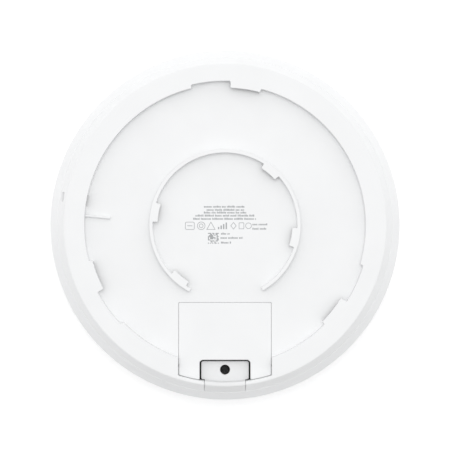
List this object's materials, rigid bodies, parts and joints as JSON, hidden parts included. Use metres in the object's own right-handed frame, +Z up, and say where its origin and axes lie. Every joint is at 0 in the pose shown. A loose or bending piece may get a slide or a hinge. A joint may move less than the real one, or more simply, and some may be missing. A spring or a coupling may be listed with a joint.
{
  "type": "ceiling access point",
  "caption": "Shallow white disc wireless access point with a bayonet recess behind, a hinged port cover, a cable plug and a lit ring in its dome",
  "frame": {"origin": "centre of the rear rim, in the plane that meets the ceiling", "axes": "+Z up into the ceiling, -Y towards the cable exit and port cover, +X to the right seen from behind with the cable exit at the bottom"},
  "size_m": [0.22, 0.22, 0.048],
  "materials": {
    "casing_plastic": "white polycarbonate, fine spark-eroded texture",
    "dome_plastic": "white polycarbonate, satin",
    "cover_plastic": "white polycarbonate, fine spark-eroded texture",
    "plug_silicone": "light grey moulded silicone",
    "light_diffuser": "milky translucent polycarbonate",
    "black_plastic": "moulded",
    "brass": "gold-plated or bare stamped brass",
    "steel": "tinned or plated sheet steel",
    "aluminium": "die-cast or sheet, unpainted",
    "thermal_pad": "soft filled silicone",
    "circuit_board": "solder mask over glass fibre",
    "cable_jacket": "thin extruded jacket"
  },
  "bodies": {
    "root": {"rear_casing": "casing_plastic", "dome_cover": "dome_plastic", "light_ring": "light_diffuser", "centre_cap": "dome_plastic", "ethernet_jack": "steel", "jack_contacts": "brass", "reset_switch": "steel", "main_board": "circuit_board", "heat_sink": "aluminium", "thermal_pad_processor": "thermal_pad", "thermal_pad_radio_left": "thermal_pad", "thermal_pad_radio_right": "thermal_pad", "shield_can_processor": "steel", "shield_can_radio_left": "steel", "shield_can_radio_right": "steel", "antenna_plate": "aluminium", "antenna_wide_1": "brass", "antenna_wide_2": "brass", "antenna_wide_3": "brass", "antenna_wide_4": "brass", "antenna_short_1": "brass", "antenna_short_2": "brass", "antenna_short_3": "brass", "antenna_short_4": "brass", "coax_wide_1": "cable_jacket", "coax_wide_2": "cable_jacket", "coax_wide_3": "cable_jacket", "coax_wide_4": "cable_jacket", "coax_short_1": "cable_jacket", "coax_short_2": "cable_jacket", "coax_short_3": "cable_jacket", "coax_short_4": "cable_jacket", "led_board": "circuit_board", "led_ribbon": "cable_jacket", "led_screw_1": "steel", "led_screw_2": "steel", "ethernet_transformer": "black_plastic", "capacitor_1": "aluminium", "capacitor_2": "aluminium", "capacitor_3": "aluminium", "standoff_1": "brass", "standoff_2": "brass", "standoff_3": "brass", "standoff_4": "brass", "plate_screw_1": "steel", "plate_screw_2": "steel", "plate_screw_3": "steel", "plate_screw_4": "steel", "heat_sink_screw_1": "steel", "heat_sink_screw_2": "steel"},
    "port_cover": {"port_cover": "cover_plastic"},
    "cable_plug": {"cable_plug": "plug_silicone"},
    "reset_button": {"reset_button": "black_plastic"}
  },
  "joints": [
    {"name": "port_cover_tilt", "type": "hinge", "parent": "root", "child": "port_cover", "pos_m": [0, -0.049, -0.0055], "axis": [-1, 0, 0], "range_deg": [0, 100]},
    {"name": "cable_plug_slide", "type": "slide", "parent": "root", "child": "cable_plug", "axis": [0, 0, 1], "range_m": [0, 0.02]},
    {"name": "reset_button_press", "type": "slide", "parent": "root", "child": "reset_button", "axis": [0, 1, 0], "range_m": [0, 0.0005], "stiffness_N_per_m": 600, "springref_m": -0.0005}
  ]
}
